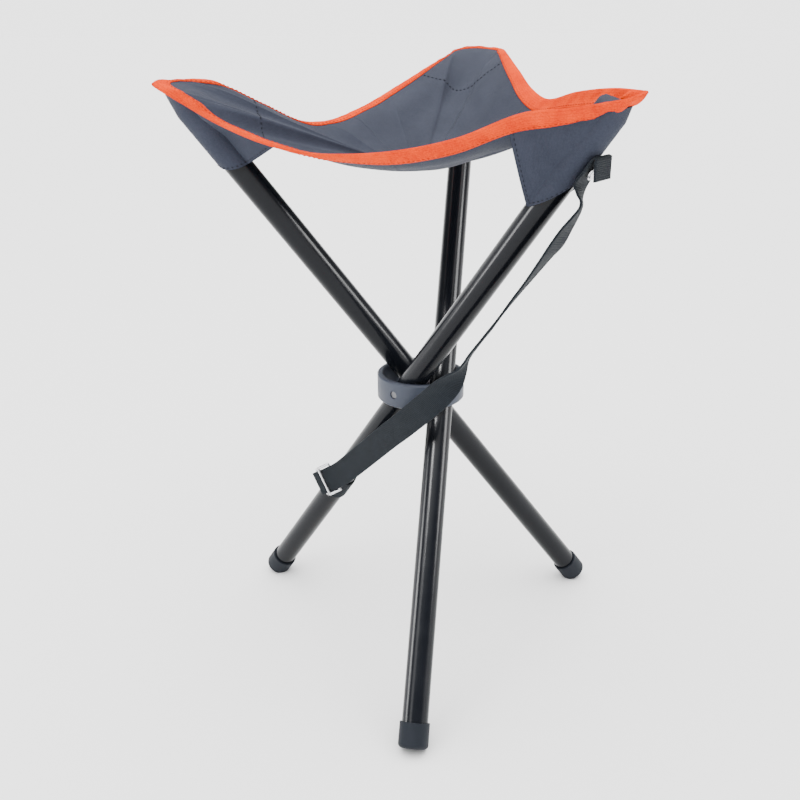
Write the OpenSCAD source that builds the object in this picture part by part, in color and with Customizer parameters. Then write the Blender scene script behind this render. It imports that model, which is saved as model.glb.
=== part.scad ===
// Three leg folding stool: three tubes pinned to a small ring, a fabric seat in corner pockets and a carry strap.
// The origin is on the ground, under the middle of the bounding box. +Z is up and the back leg's foot points to -Y.

/* [Legs] */
// Height of the ring's centre above the ground when the stool is open
hub_height = 222; // [214:1:226]
// Lean of each leg from the vertical when the stool is open, in degrees
leg_lean = 36.5; // [35:0.5:38]
// Length of a tube from its pivot to its upper end
leg_upper = 266; // [262:1:268]
// Length of a tube from its pivot to its lower end
leg_lower = 268; // [266:1:269]
// Outer diameter of a leg tube
tube_d = 19; // [18:0.5:19.5]
// Wall thickness of a leg tube
tube_wall = 1.2; // [0.8:0.1:1.6]

/* [Ring] */
// Distance from the ring's axis to the axis of each leg
pivot_offset = 17; // [16.5:0.5:17.5]
// Outer diameter of the ring
ring_d = 68; // [68:1:72]
// Thickness of the ring's wall
ring_wall = 4.5; // [4:0.25:4.5]
// Height of the ring
ring_h = 20; // [16:0.5:20]
// Diameter of each pivot pin's shank
pin_d = 4; // [3:0.5:5]

/* [Feet and plugs] */
// Outer diameter of a rubber foot cap
foot_d = 22; // [21.5:0.5:23]
// Length of a foot cap along its leg
foot_length = 18; // [14:1:24]
// Height of the middle of a foot cap's end above the ground
foot_rise = 3.5; // [3:0.25:4.5]
// Length of a plug's domed head beyond the tube
plug_head = 4; // [3:0.5:5]

/* [Seat] */
// Distance from the ring's axis to the middle of each blunt seat corner
tip_reach = 177; // [176:1:182]
// Half the width of a blunt seat corner
tip_half = 15; // [13:1:18]
// Height of the left and right corners of the seat above the ground
side_tip_height = 453; // [452:1:458]
// Height of the back corner of the seat, which stands up a little
back_tip_height = 461; // [456:1:464]
// Height of the middle of the front edge
front_edge_height = 407; // [404:1:416]
// Height of the middle of the right edge
right_edge_height = 428; // [416:1:430]
// Height of the middle of the left edge
left_edge_height = 416; // [410:1:424]
// Height of the middle of the seat
dip_height = 388; // [384:1:394]
// How far each seat edge bows in towards the middle
edge_bow = 17; // [12:1:22]
// Thickness of the seat fabric
cloth = 1.5; // [1.5:0.1:2]
// Width of the edging tape on each face of the fabric
tape_width = 9; // [8:0.5:10]

/* [Strap] */
// Width of the carry strap's webbing
strap_width = 20; // [19:0.5:21]
// Thickness of the webbing
strap_thick = 1.6; // [1.4:0.1:1.7]
// Distance of the strap's rivet from the pivot, along the right leg
rivet_at = 232; // [228:1:234]

/* [Hidden] */
$fn = 64;

// Directions in which the upper ends lean, seen from above
LEFT = 210;
RIGHT = 330;
BACK = 90;
LEANS = [LEFT, RIGHT, BACK];

// Place of the ring's axis, which puts the bounding box's middle over the origin
hub_x = 8;
hub_y = -5;

// Running clearance on a pin's radius, and the gap between flat faces that only touch
fit = 0.05;
gap = 0.1;
// Overlap of a cutting shape beyond the face that it cuts
cut = 1;

tube_r = tube_d / 2;
bore_r = tube_r - tube_wall;
ring_r = ring_d / 2;
ring_in = ring_r - ring_wall;
pin_r = pin_d / 2;

// Pin stack, as distances from the ring's axis
washer_thick = 0.8;
washer_in = pivot_offset + tube_r + gap;
pad_face = washer_in + washer_thick + gap;
pad_r = 8;
head_r = 2.7;
head_thick = 1.4;
recess_r = 3.1;
recess_depth = 2.4;
clinch_r = 4;
clinch_thick = 1.5;
clinch_face = pivot_offset - tube_r - gap;
head_face = ring_r - recess_depth + gap;

foot_r = foot_d / 2;
foot_end = (hub_height - foot_rise) / cos(leg_lean);
foot_round = 3;
plug_depth = 14;
plug_end = leg_upper + plug_head;

// Seat outline: the whole outline is turned with the upper ends of the offset legs
corner_turn = -atan(pivot_offset / (plug_end * sin(leg_lean)));
TIP_HEIGHTS = [side_tip_height, side_tip_height, back_tip_height];
EDGE_HEIGHTS = [front_edge_height, right_edge_height, left_edge_height];
edge_steps = 20;
ring_steps = 8;
sag_power = 1.3;
tape_thick = 0.7;
tape_lip = 1.2;

// Pocket: radius inside, wall, place of the hem on the leg and of its upper corners on the seat edge
pocket_r = tube_r + 0.3;
pocket_wall = 1.1;
pocket_hem = 218;
pocket_drop = 4.5;
pocket_edge = 0.74;

// Strap stack over the pocket on the outer side of the right leg, as distances from the leg's axis
strap_seat = pocket_r + pocket_wall + gap;
tab_thick = 2 * strap_thick;
tab_top = rivet_at + 11;
tab_end = rivet_at - 11;
rivet_r = 1.6;
rivet_head_r = 4.6;
rivet_head = 2;
rivet_washer_r = 5.6;
rivet_washer = 0.8;
washer_face = strap_seat + tab_thick + gap;
rivet_face = washer_face + rivet_washer + gap;
rivet_clinch_r = 3;
rivet_clinch = 1.2;

// Route of the strap in the right leg's frame, each row [outwards, sideways, along the leg, turn of its face]
// A turn of 0 faces away under the leg, and 90 faces the side of the leg where its pivot pin comes out.
strap_y = -(tube_r + 5.5);
run_turn = 20;
run_start = [2, strap_y, -106];
run_length = 31;
run_dir = [-sin(run_turn), 0, -cos(run_turn)];
run_end = run_start + run_length * run_dir;
STRAP_ROUTE = [[strap_seat + strap_thick / 2, 0, tab_end - 0.3, 0],
               [16, -0.3, 216, -12],
               [20.8, -0.6, 211.5, -19],
               [22.6, -1.6, 205.5, -12],
               [24.3, -4.5, 194, -2],
               [26.2, -7, 183, 2],
               [26.8, -9, 172, -4],
               [27.5, -11, 155, -10],
               [27.8, -13, 137, -14],
               [28.4, -15, 120, -17],
               [29.4, -18, 104, -15],
               [29.8, -20, 88, -15],
               [30.9, -21.8, 74, -12],
               [31.6, -22.8, 64, 14],
               [32, -23.5, 54, 42],
               [31, -24, 40, 66],
               [28.5, -24, 24, 80],
               [25.5, -23.5, 8, 86],
               [22, -22.5, -10, 89],
               [18, -21, -28, 90],
               [14, -19, -48, 90],
               [10, -17, -68, 90],
               [6, -15.8, -88, 90],
               [run_start[0], run_start[1], run_start[2], 90],
               [run_end[0], run_end[1], run_end[2], 90]];

// Webbing loop round the leg, and the wire slider over it
loop_at = -128;
loop_thick = 1.4;
slider_at = 19;
slider_long = 17;
slider_wide = strap_width + 4;
wire_r = 1.1;
bar_under = 2.4;
bar_over = 2.6;

// ---- frames ----

// Upright frame at the ring's centre: +X is the way that the leg leans, -Y is the way its pin points out.
module in_hub(lean_to) {
    translate([hub_x, hub_y, hub_height])
        rotate([0, 0, lean_to])
            children();
}

// Frame of one leg: the origin is its pivot, +Z runs up the leg and +X is its outer, lower side.
module on_leg(lean_to) {
    in_hub(lean_to)
        translate([0, -pivot_offset, 0])
            rotate([0, leg_lean, 0])
                children();
}

// Cylinder along -Y between two distances from the frame's origin
module pin_bar(r, from, to) {
    translate([0, -from, 0])
        rotate([90, 0, 0])
            cylinder(h = to - from, r = r);
}

// Everything below the ground, which trims the foot caps flat
module ground_block() {
    block = 900;
    translate([-block / 2, -block / 2, -block])
        cube(block);
}

// ---- ring and pins ----

module hub_ring() {
    chamfer = 1;
    color("dimgray")
        difference() {
            union() {
                translate([hub_x, hub_y, hub_height])
                    rotate_extrude($fn = 128)
                        polygon([[ring_in, -ring_h / 2 + chamfer], [ring_in + chamfer, -ring_h / 2],
                                 [ring_r - chamfer, -ring_h / 2], [ring_r, -ring_h / 2 + chamfer],
                                 [ring_r, ring_h / 2 - chamfer], [ring_r - chamfer, ring_h / 2],
                                 [ring_in + chamfer, ring_h / 2], [ring_in, ring_h / 2 - chamfer]]);
                for (lean_to = LEANS)
                    in_hub(lean_to)
                        pin_bar(pad_r, pad_face, ring_in + ring_wall / 2);
            }
            for (lean_to = LEANS)
                in_hub(lean_to) {
                    pin_bar(pin_r + fit, pad_face - cut, ring_r + cut);
                    pin_bar(recess_r, ring_r - recess_depth, ring_r + cut);
                }
        }
}

module pivot_pins() {
    color("darkslategray")
        for (lean_to = LEANS)
            in_hub(lean_to) {
                pin_bar(pin_r, clinch_face - clinch_thick, head_face + head_thick);
                pin_bar(head_r, head_face, head_face + head_thick);
                pin_bar(clinch_r, clinch_face - clinch_thick, clinch_face);
            }
}

module pivot_washers() {
    washer_r = 7;
    color("gainsboro")
        for (lean_to = LEANS)
            in_hub(lean_to)
                difference() {
                    pin_bar(washer_r, washer_in, washer_in + washer_thick);
                    pin_bar(pin_r + fit, washer_in - cut, washer_in + washer_thick + cut);
                }
}

// ---- legs ----

module leg_tube(lean_to, rivet_hole = false) {
    color("black")
        on_leg(lean_to)
            difference() {
                translate([0, 0, -leg_lower])
                    cylinder(h = leg_lower + leg_upper, r = tube_r);
                translate([0, 0, -leg_lower - cut])
                    cylinder(h = leg_lower + leg_upper + 2 * cut, r = bore_r);
                rotate([90, 0, 0])
                    cylinder(h = tube_d + 2 * cut, r = pin_r + fit, center = true);
                if (rivet_hole)
                    translate([0, 0, rivet_at])
                        rotate([0, 90, 0])
                            cylinder(h = tube_r + cut, r = rivet_r + fit);
            }
}

module foot_cap(lean_to) {
    color("darkslategray")
        difference() {
            on_leg(lean_to)
                difference() {
                    translate([0, 0, -foot_end])
                        rotate_extrude() {
                            square([foot_r - foot_round, foot_length]);
                            translate([0, foot_round])
                                square([foot_r, foot_length - foot_round]);
                            translate([foot_r - foot_round, foot_round])
                                intersection() {
                                    circle(r = foot_round);
                                    translate([0, -foot_round])
                                        square(foot_round);
                                }
                        }
                    translate([0, 0, -leg_lower - gap])
                        cylinder(h = foot_end, r = tube_r + fit);
                }
            ground_block();
        }
}

module tube_plug(lean_to) {
    dome_r = 16;
    color("dimgray")
        on_leg(lean_to) {
            translate([0, 0, leg_upper - plug_depth])
                cylinder(h = plug_depth + gap, r = bore_r - fit);
            translate([0, 0, leg_upper + gap])
                intersection() {
                    cylinder(h = plug_head - gap, r = tube_r);
                    translate([0, 0, plug_head - gap - dome_r])
                        sphere(r = dome_r);
                }
        }
}

module left_leg() { leg_tube(LEFT); }
module right_leg() { leg_tube(RIGHT, rivet_hole = true); }
module back_leg() { leg_tube(BACK); }
module left_foot() { foot_cap(LEFT); }
module right_foot() { foot_cap(RIGHT); }
module back_foot() { foot_cap(BACK); }
module left_plug() { tube_plug(LEFT); }
module right_plug() { tube_plug(RIGHT); }
module back_plug() { tube_plug(BACK); }

// ---- seat ----

function along(angle) = [cos(angle), sin(angle)];
function across(angle) = [-sin(angle), cos(angle)];
function flat_length(p) = sqrt(p[0] * p[0] + p[1] * p[1]);

// Point on the seat edge that runs on from one corner to the next, t from -1 to 1, about the ring's axis
function edge_from(a) = tip_reach * along(a) + tip_half * across(a);
function edge_to(a) = tip_reach * along(a + 120) - tip_half * across(a + 120);
function edge_flat(a, t) =
    let (middle = (edge_from(a) + edge_to(a)) / 2,
         half = (edge_to(a) - edge_from(a)) / 2)
    middle + half * t - middle / flat_length(middle) * edge_bow * (1 - t * t);

// Height along an edge: a straight line between its two corners, less the sag
function edge_z(k, t) =
    let (from = TIP_HEIGHTS[k], to = TIP_HEIGHTS[(k + 1) % 3], level = from + (to - from) * (t + 1) / 2)
    level - ((from + to) / 2 - EDGE_HEIGHTS[k]) * pow(1 - t * t, sag_power);

// Point on edge k about the ring's axis, and the whole outline edge by edge
function edge_point(k, t) =
    let (p = edge_flat(LEANS[k] + corner_turn, t))
    [p[0], p[1], edge_z(k, t)];
OUTLINE = [for (k = [0 : 2]) for (i = [0 : edge_steps]) edge_point(k, 2 * i / edge_steps - 1)];

// Seat surface between the middle and the outline, part = 0 to 1 of the way out
function rise(part) = pow(sin(90 * part), 2);
function seat_point(p, part) =
    [hub_x + p[0] * part, hub_y + p[1] * part, dip_height + (p[2] - dip_height) * rise(part)];
function lifted(p, dz) = [p[0], p[1], p[2] + dz];
function inset_part(p, inset) = 1 - inset / flat_length(p);

module seat_panel() {
    n = len(OUTLINE);
    // The last two rings lie under the tape's inner border and just inside its fold
    function ring_part(p, k) =
        k == ring_steps ? inset_part(p, tape_lip) : inset_part(p, tape_width) * k / (ring_steps - 1);
    function ring_of(k, dz) = [for (p = OUTLINE) lifted(seat_point(p, ring_part(p, k)), dz)];
    middle = [hub_x, hub_y, dip_height];
    top = [for (k = [1 : ring_steps]) each ring_of(k, cloth / 2)];
    bottom = [for (k = [1 : ring_steps]) each ring_of(k, -cloth / 2)];
    points = concat(top, bottom, [lifted(middle, cloth / 2), lifted(middle, -cloth / 2)]);
    half = n * ring_steps;
    last = n * (ring_steps - 1);
    fans = [for (j = [0 : n - 1]) each
        [[2 * half, (j + 1) % n, j],
         [2 * half + 1, half + j, half + (j + 1) % n]]];
    bands = [for (k = [0 : ring_steps - 2]) for (j = [0 : n - 1])
        let (a = k * n + j, b = k * n + (j + 1) % n) each
        [[a, b, b + n], [a, b + n, a + n],
         [half + a, half + b + n, half + b], [half + a, half + a + n, half + b + n]]];
    rim = [for (j = [0 : n - 1])
        let (a = last + j, b = last + (j + 1) % n) each
        [[a, b, half + b], [a, half + b, half + a]]];
    color("slategray")
        polyhedron(points, concat(fans, bands, rim), convexity = 6);
}

module seat_binding() {
    n = len(OUTLINE);
    inner = cloth / 2 + gap;
    outer = inner + tape_thick;
    // Channel section round the fabric's edge, as [inset, height] corners
    channel = [[tape_width, outer], [0, outer], [0, -outer], [tape_width, -outer],
               [tape_width, -inner], [tape_lip - gap, -inner], [tape_lip - gap, inner], [tape_width, inner]];
    m = len(channel);
    inner_top = 6;
    points = [for (p = OUTLINE) for (c = channel) lifted(seat_point(p, inset_part(p, c[0])), c[1])];
    // The face on top of the fabric is split the same way as the fabric under it
    faces = [for (j = [0 : n - 1]) for (i = [0 : m - 1])
        let (a = j * m + i, b = j * m + (i + 1) % m,
             c = ((j + 1) % n) * m + (i + 1) % m, d = ((j + 1) % n) * m + i) each
        i == inner_top ? [[a, d, b], [b, d, c]] : [[a, c, b], [a, d, c]]];
    color("darkorange")
        polyhedron(points, faces, convexity = 10);
}

// Sheath under a seat corner: open at its hem and along the seat, and closed round the leg's end
module pocket_body(k, r, from, to, open_top) {
    bead = 0.6;
    last = (k + 2) % 3;
    rim = [edge_point(k, -1), edge_point(k, -pocket_edge), edge_point(last, pocket_edge), edge_point(last, 1)];
    hull()
        for (lift = [0, open_top]) {
            translate([0, 0, lift])
                on_leg(LEANS[k])
                    translate([0, 0, from])
                        cylinder(h = to - from, r = r, $fn = 32);
            for (p = rim)
                translate([hub_x + p[0], hub_y + p[1], p[2] - pocket_drop + lift])
                    sphere(r = bead + r - pocket_r, $fn = 16);
        }
}

module corner_pocket(k, rivet_hole = false) {
    open_top = 60;
    end_inside = plug_end + 0.4;
    hole_sides = 12;
    hole_turn = 6;
    hole_r = (rivet_r + fit) / cos(180 / hole_sides);
    color("slategray")
        difference() {
            pocket_body(k, pocket_r + pocket_wall, pocket_hem, end_inside + pocket_wall, 0);
            pocket_body(k, pocket_r, pocket_hem - 3 * cut, end_inside, open_top);
            if (rivet_hole)
                on_leg(LEANS[k])
                    translate([0, 0, rivet_at])
                        rotate([0, 90, 0])
                            rotate(hole_turn)
                                cylinder(h = 2 * pocket_r, r = hole_r, $fn = hole_sides);
        }
}

module left_pocket() { corner_pocket(0); }
module right_pocket() { corner_pocket(1, rivet_hole = true); }
module back_pocket() { corner_pocket(2); }

// ---- strap ----

// Unit step of the route at row i, and the way across the webbing there, square to the step
function unit(v) = v / norm(v);
function place(row) = [row[0], row[1], row[2]];
function step_at(i) =
    unit(place(STRAP_ROUTE[min(i + 1, len(STRAP_ROUTE) - 1)]) - place(STRAP_ROUTE[max(i - 1, 0)]));
function face_at(i) =
    let (turn = STRAP_ROUTE[i][3], out = [cos(turn), -sin(turn), 0])
    unit(out - (out * step_at(i)) * step_at(i));
function side_at(i) = cross(step_at(i), face_at(i));

module strap_run() {
    n = len(STRAP_ROUTE);
    section = [[-1, -1], [1, -1], [1, 1], [-1, 1]];
    points = [for (i = [0 : n - 1]) for (c = section)
        place(STRAP_ROUTE[i]) + side_at(i) * c[0] * strap_width / 2 + face_at(i) * c[1] * strap_thick / 2];
    sides = [for (i = [0 : n - 2]) for (j = [0 : 3])
        let (a = 4 * i + j, b = 4 * i + (j + 1) % 4) each
        [[a, b, b + 4], [a, b + 4, a + 4]]];
    polyhedron(points, concat(sides, [[3, 2, 1], [3, 1, 0]],
        [[4 * n - 4, 4 * n - 3, 4 * n - 2], [4 * n - 4, 4 * n - 2, 4 * n - 1]]), convexity = 10);
}

module carry_strap() {
    color("black")
        on_leg(RIGHT) {
            strap_run();
            difference() {
                translate([strap_seat, -strap_width / 2, tab_end - 1])
                    cube([tab_thick, strap_width, tab_top - tab_end + 1]);
                translate([0, 0, rivet_at])
                    rotate([0, 90, 0])
                        cylinder(h = 2 * tube_d, r = rivet_r + fit);
            }
        }
}

// Disc across the leg at the rivet, between two distances from the leg's axis
module rivet_disc(r, from, to) {
    translate([from, 0, rivet_at])
        rotate([0, 90, 0])
            cylinder(h = to - from, r = r);
}

module strap_washer() {
    color("silver")
        on_leg(RIGHT)
            difference() {
                rivet_disc(rivet_washer_r, washer_face, washer_face + rivet_washer);
                rivet_disc(rivet_r + fit, washer_face - cut, washer_face + rivet_washer + cut);
            }
}

module strap_rivet() {
    inside = sqrt(bore_r * bore_r - rivet_clinch_r * rivet_clinch_r) - gap;
    rim = 0.8;
    color("silver")
        on_leg(RIGHT) {
            rivet_disc(rivet_r, inside - rivet_clinch, rivet_face + rim);
            rivet_disc(rivet_clinch_r, inside - rivet_clinch, inside);
            rivet_disc(rivet_head_r, rivet_face, rivet_face + rim);
            translate([rivet_face + rim, 0, rivet_at])
                rotate([0, 90, 0])
                    cylinder(h = rivet_head - rim, r1 = rivet_head_r, r2 = rivet_head_r / 2);
        }
}

module strap_loop() {
    loop_in = tube_r + 0.2;
    color("black")
        on_leg(RIGHT)
            translate([0, 0, loop_at - strap_width / 2])
                difference() {
                    cylinder(h = strap_width, r = loop_in + loop_thick);
                    translate([0, 0, -cut])
                        cylinder(h = strap_width + 2 * cut, r = loop_in);
                }
}

// Straight wire between two points, with round ends
module wire(p, q) {
    d = q - p;
    translate(p)
        rotate([0, acos(d[2] / norm(d)), atan2(d[1], d[0])])
            cylinder(h = norm(d), r = wire_r, $fn = 24);
    translate(q)
        sphere(r = wire_r, $fn = 24);
}

// Frame of the slider: the origin is on the strap's straight run, +X across it and +Z back up it
module at_slider() {
    on_leg(RIGHT)
        translate(run_start + slider_at * run_dir)
            rotate([0, run_turn, 0])
                children();
}

module strap_slider() {
    x = slider_wide / 2;
    z = slider_long / 2;
    corners = [[-x, bar_under, -z], [x, bar_under, -z], [x, -bar_over, 0],
               [x, bar_under, z], [-x, bar_under, z], [-x, -bar_over, 0]];
    color("silver")
        at_slider() {
            for (i = [0 : len(corners) - 1])
                wire(corners[i], corners[(i + 1) % len(corners)]);
            wire([-x, -bar_over, 0], [x, -bar_over, 0]);
        }
}

hub_ring();
pivot_pins();
pivot_washers();
left_leg();
right_leg();
back_leg();
left_foot();
right_foot();
back_foot();
left_plug();
right_plug();
back_plug();
seat_panel();
seat_binding();
left_pocket();
right_pocket();
back_pocket();
carry_strap();
strap_rivet();
strap_washer();
strap_loop();
strap_slider();
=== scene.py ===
import math

import bpy
import numpy as np
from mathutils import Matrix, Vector


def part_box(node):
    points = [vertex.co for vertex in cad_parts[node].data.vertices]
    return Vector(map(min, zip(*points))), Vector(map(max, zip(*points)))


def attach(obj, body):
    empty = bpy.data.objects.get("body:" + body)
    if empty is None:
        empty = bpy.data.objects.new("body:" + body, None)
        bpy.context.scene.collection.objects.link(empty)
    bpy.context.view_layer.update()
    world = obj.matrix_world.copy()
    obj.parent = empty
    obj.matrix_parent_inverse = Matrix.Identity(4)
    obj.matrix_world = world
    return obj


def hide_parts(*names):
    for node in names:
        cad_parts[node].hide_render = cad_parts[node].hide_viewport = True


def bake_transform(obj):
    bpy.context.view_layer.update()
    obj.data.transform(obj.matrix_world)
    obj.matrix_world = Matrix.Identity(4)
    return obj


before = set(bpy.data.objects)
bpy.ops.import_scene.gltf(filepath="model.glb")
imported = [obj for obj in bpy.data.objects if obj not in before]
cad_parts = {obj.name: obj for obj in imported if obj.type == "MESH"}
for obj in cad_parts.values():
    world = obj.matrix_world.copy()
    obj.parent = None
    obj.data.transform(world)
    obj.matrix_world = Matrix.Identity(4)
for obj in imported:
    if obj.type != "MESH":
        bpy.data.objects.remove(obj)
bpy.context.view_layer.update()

# ---------------------------------------------------------------- frames

ring_lo, ring_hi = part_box("hub_ring")
HUB = (np.array(ring_lo) + np.array(ring_hi)) / 2
LEAN = math.radians(36.5)
OFFSET = 0.017  # each leg passes the ring's axis at this distance
TUBE_R = 0.0095
PLUG_END = 0.270  # top of the plug above the pivot, along the leg
CORNERS = ("left", "right", "back")
LEANS = (210.0, 330.0, 90.0)  # direction in which each upper leg leans out, in degrees
UP = np.array([0.0, 0.0, 1.0])


def unit(v):
    v = np.asarray(v, float)
    return v / np.maximum(np.linalg.norm(v, axis=-1, keepdims=True), 1e-12)


def leg_axes(k):
    """Origin at the pivot, then x to the outer lower side, y inwards along the pin, z up the leg."""
    a = math.radians(LEANS[k])
    out, side = np.array([math.cos(a), math.sin(a), 0]), np.array([-math.sin(a), math.cos(a), 0])
    x = out * math.cos(LEAN) - UP * math.sin(LEAN)
    z = out * math.sin(LEAN) + UP * math.cos(LEAN)
    return HUB - OFFSET * side, x, side, z


def leg_point(k, p):
    o, x, y, z = leg_axes(k)
    p = np.asarray(p, float)
    return o + p[..., 0:1] * x + p[..., 1:2] * y + p[..., 2:3] * z


def to_leg(k, w):
    o, x, y, z = leg_axes(k)
    d = np.asarray(w, float) - o
    return np.stack([d @ x, d @ y, d @ z], axis=-1)


# ---------------------------------------------------------------- camera

CAMERA_AT = (0.1091, -0.7038, 0.4885)
CAMERA_RIGHT = (0.9867, 0.1620, -0.0106)
CAMERA_UP = (-0.0502, 0.3664, 0.9291)
LENS = 43.0


def place_camera():
    data = bpy.data.cameras.new("camera")
    data.sensor_width = 36
    data.lens = LENS
    data.clip_start, data.clip_end = 0.01, 60
    cam = bpy.data.objects.new("camera", data)
    bpy.context.scene.collection.objects.link(cam)
    right, up = Vector(CAMERA_RIGHT), Vector(CAMERA_UP)
    back = right.cross(up).normalized()
    up = back.cross(right).normalized()
    m = cam.matrix_world.copy()
    for i, axis in enumerate((right.normalized(), up, back)):
        for j in range(3):
            m[j][i] = axis[j]
    m[0][3], m[1][3], m[2][3] = CAMERA_AT
    cam.matrix_world = m
    bpy.context.scene.camera = cam


place_camera()

# ---------------------------------------------------------------- mesh helpers

def mesh_object(name, verts, faces, uv=None, smooth=True):
    me = bpy.data.meshes.new(name)
    points = [tuple(v) for v in np.asarray(verts, float)]
    me.from_pydata(points, [], [tuple(int(i) for i in f) for f in faces])
    me.validate()
    if uv is not None:
        layer = me.uv_layers.new(name="UVMap")
        loops = np.zeros(len(me.loops), np.int64)
        me.loops.foreach_get("vertex_index", loops)
        layer.data.foreach_set("uv", np.asarray(uv, np.float32)[loops].ravel())
    me.polygons.foreach_set("use_smooth", [smooth] * len(me.polygons))
    me.update()
    o = bpy.data.objects.new(name, me)
    bpy.context.scene.collection.objects.link(o)
    return o


def grid_faces(rows, cols, base=0, close_cols=False, flip=False):
    faces = []
    for i in range(rows - 1):
        for j in range(cols if close_cols else cols - 1):
            a, b = base + i * cols + j, base + i * cols + (j + 1) % cols
            f = (a, b, b + cols, a + cols)
            faces.append(f[::-1] if flip else f)
    return faces


def closed_sheet_faces(rows, cols):
    """Faces of a thin sheet: a grid of outer points, the same grid of inner points, and a rim all round."""
    half = rows * cols
    faces = grid_faces(rows, cols) + grid_faces(rows, cols, base=half, flip=True)
    border = ([(i, 0) for i in range(rows)] + [(rows - 1, j) for j in range(1, cols)]
              + [(i, cols - 1) for i in range(rows - 2, -1, -1)] + [(0, j) for j in range(cols - 2, 0, -1)])
    ring = [i * cols + j for i, j in border]
    for a, b in zip(ring, ring[1:] + ring[:1]):
        faces.append((a, a + half, b + half, b))
    return faces


FLAT_SLOPE = 0.35  # share of its slope that a curve keeps at a peak or a dip


def smooth_curve(xs, ys, x):
    """Smooth cubic through a few control values, which hardly overshoots them."""
    xs, ys, x = np.asarray(xs, float), np.asarray(ys, float), np.asarray(x, float)
    d = np.diff(ys) / np.diff(xs)
    m = np.concatenate([[d[0]], (d[:-1] + d[1:]) / 2, [d[-1]]])
    flat = d[:-1] * d[1:] <= 0
    m[1:-1][flat] *= FLAT_SLOPE
    i = np.clip(np.searchsorted(xs, x) - 1, 0, len(d) - 1)
    h = xs[i + 1] - xs[i]
    t = np.clip((x - xs[i]) / h, 0, 1)
    return ((2 * t**3 - 3 * t**2 + 1) * ys[i] + (t**3 - 2 * t**2 + t) * h * m[i]
            + (-2 * t**3 + 3 * t**2) * ys[i + 1] + (t**3 - t**2) * h * m[i + 1])


# ---------------------------------------------------------------- seat surface

CORNER_AZ = (204.0, 324.0, 81.5)  # direction of each corner of the seat, in degrees
CORNER_R = (0.174, 0.173, 0.175)  # distance of each corner from the ring's axis
CORNER_HALF = (0.013, 0.011, 0.020)  # half the width of each blunt tip
BOW = 0.017  # each edge bows in by this much
DIP = 0.390  # height of the seat's middle
# Height of each edge in millimetres, from its first corner (t = -1) to its second (t = 1)
EDGE_HEIGHT = (
    ((-1, -0.8, -0.57, -0.3, 0, 0.3, 0.6, 0.8, 1), (446, 428, 414, 407, 409, 418, 434.5, 438, 443.5)),
    ((-1, -0.8, -0.5, -0.15, 0.1, 0.35, 0.8, 1), (447.5, 447, 442.5, 434.5, 440, 451, 463.5, 464)),
    ((-1, -0.67, -0.45, -0.1, 0.15, 0.32, 0.6, 0.8, 1), (463, 450, 440, 424, 417, 420, 438.5, 451, 451.5)),
)
# Slope of the cloth just inside each edge in degrees: 0 runs level, 90 drops straight down
EDGE_SLOPE = (
    ((-1, -0.95, -0.90, -0.7, -0.5, -0.2, 0.1, 0.5, 0.8, 1), (-45, -22, 5, 9, 12, 35, 70, 78, 76, 66)),
    ((-1, -0.8, -0.5, -0.2, 0.1, 0.4, 0.8, 1), (40, 66, 64, 50, 35, 25, 12, 0)),
    ((-1, -0.6, -0.2, 0.1, 0.3, 0.6, 0.85, 1), (0, 5, -3, -8, 12, 20, 14, -8)),
)
TIP_SLOPE = (-35, 48, -8)  # the same in the middle of each tip
TIP_BULGE = 0.42  # how far a tip's curve swings out, as a share of the tip's width
CORNER_LIFT = (0.013, 0.022, 0.008)  # the leg under each corner holds the cloth up by this much
CORNER_REACH = 0.3  # share of half an edge over which it does so
STEEP_AT, DROOP_AT = 75, 35  # slopes at which the cloth counts as wholly steep, and as wholly drooping
LEG_CLEAR, LEG_CLEAR_LAST = 0.0016, 0.0012  # gap left over the legs while the cloth relaxes, and at the end


def tip_end(k, side):
    """Where corner k's blunt tip ends: side 1 is towards the next corner, -1 towards the one before."""
    a = math.radians(CORNER_AZ[k])
    out, across = np.array([math.cos(a), math.sin(a)]), np.array([-math.sin(a), math.cos(a)])
    return CORNER_R[k] * out + side * CORNER_HALF[k] * across


def edge_flat(k, t):
    """Plan of edge k, from corner k (t = -1) to the next one (t = 1)."""
    p0, p1 = tip_end(k, 1), tip_end((k + 1) % 3, -1)
    mid, half = (p0 + p1) / 2, (p1 - p0) / 2
    t = np.asarray(t, float)[:, None]
    return mid + half * t - mid / np.linalg.norm(mid) * BOW * (1 - t * t)


def edge_samples(k, t):
    """Points of edge k about the ring's axis, and the slope just inside them."""
    xy = edge_flat(k, t)
    z = smooth_curve(*EDGE_HEIGHT[k], t) / 1000
    return np.column_stack([xy, z]), smooth_curve(*EDGE_SLOPE[k], t)


def sector_outline(k, n=150, tip_n=14):
    """Outline of corner k's third of the seat: half an edge, the blunt tip, half the next edge."""
    before, after = (k + 2) % 3, k
    s = np.linspace(0, 1, n)
    pa, sa = edge_samples(before, s)
    pb, sb = edge_samples(after, s - 1)
    u = np.linspace(0, 1, tip_n + 2)[1:-1]
    p0, p3 = pa[-1], pb[0]
    d0, d3 = unit(pa[-1] - pa[-3]), unit(pb[0] - pb[2])
    bulge = np.linalg.norm(p3 - p0) * TIP_BULGE
    p1, p2 = p0 + d0 * bulge, p3 + d3 * bulge
    w = u[:, None]
    tip = p0 * (1 - w)**3 + 3 * p1 * w * (1 - w)**2 + 3 * p2 * w * w * (1 - w) + p3 * w**3
    ts = np.interp(u, [0, 0.5, 1], [sa[-1], TIP_SLOPE[k], sb[0]])
    place = np.concatenate([s - 1, np.zeros(tip_n), s])  # -1..0 before the tip, 0..1 after
    return np.vstack([pa, tip, pb]), np.concatenate([sa, ts, sb]), place


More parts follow.
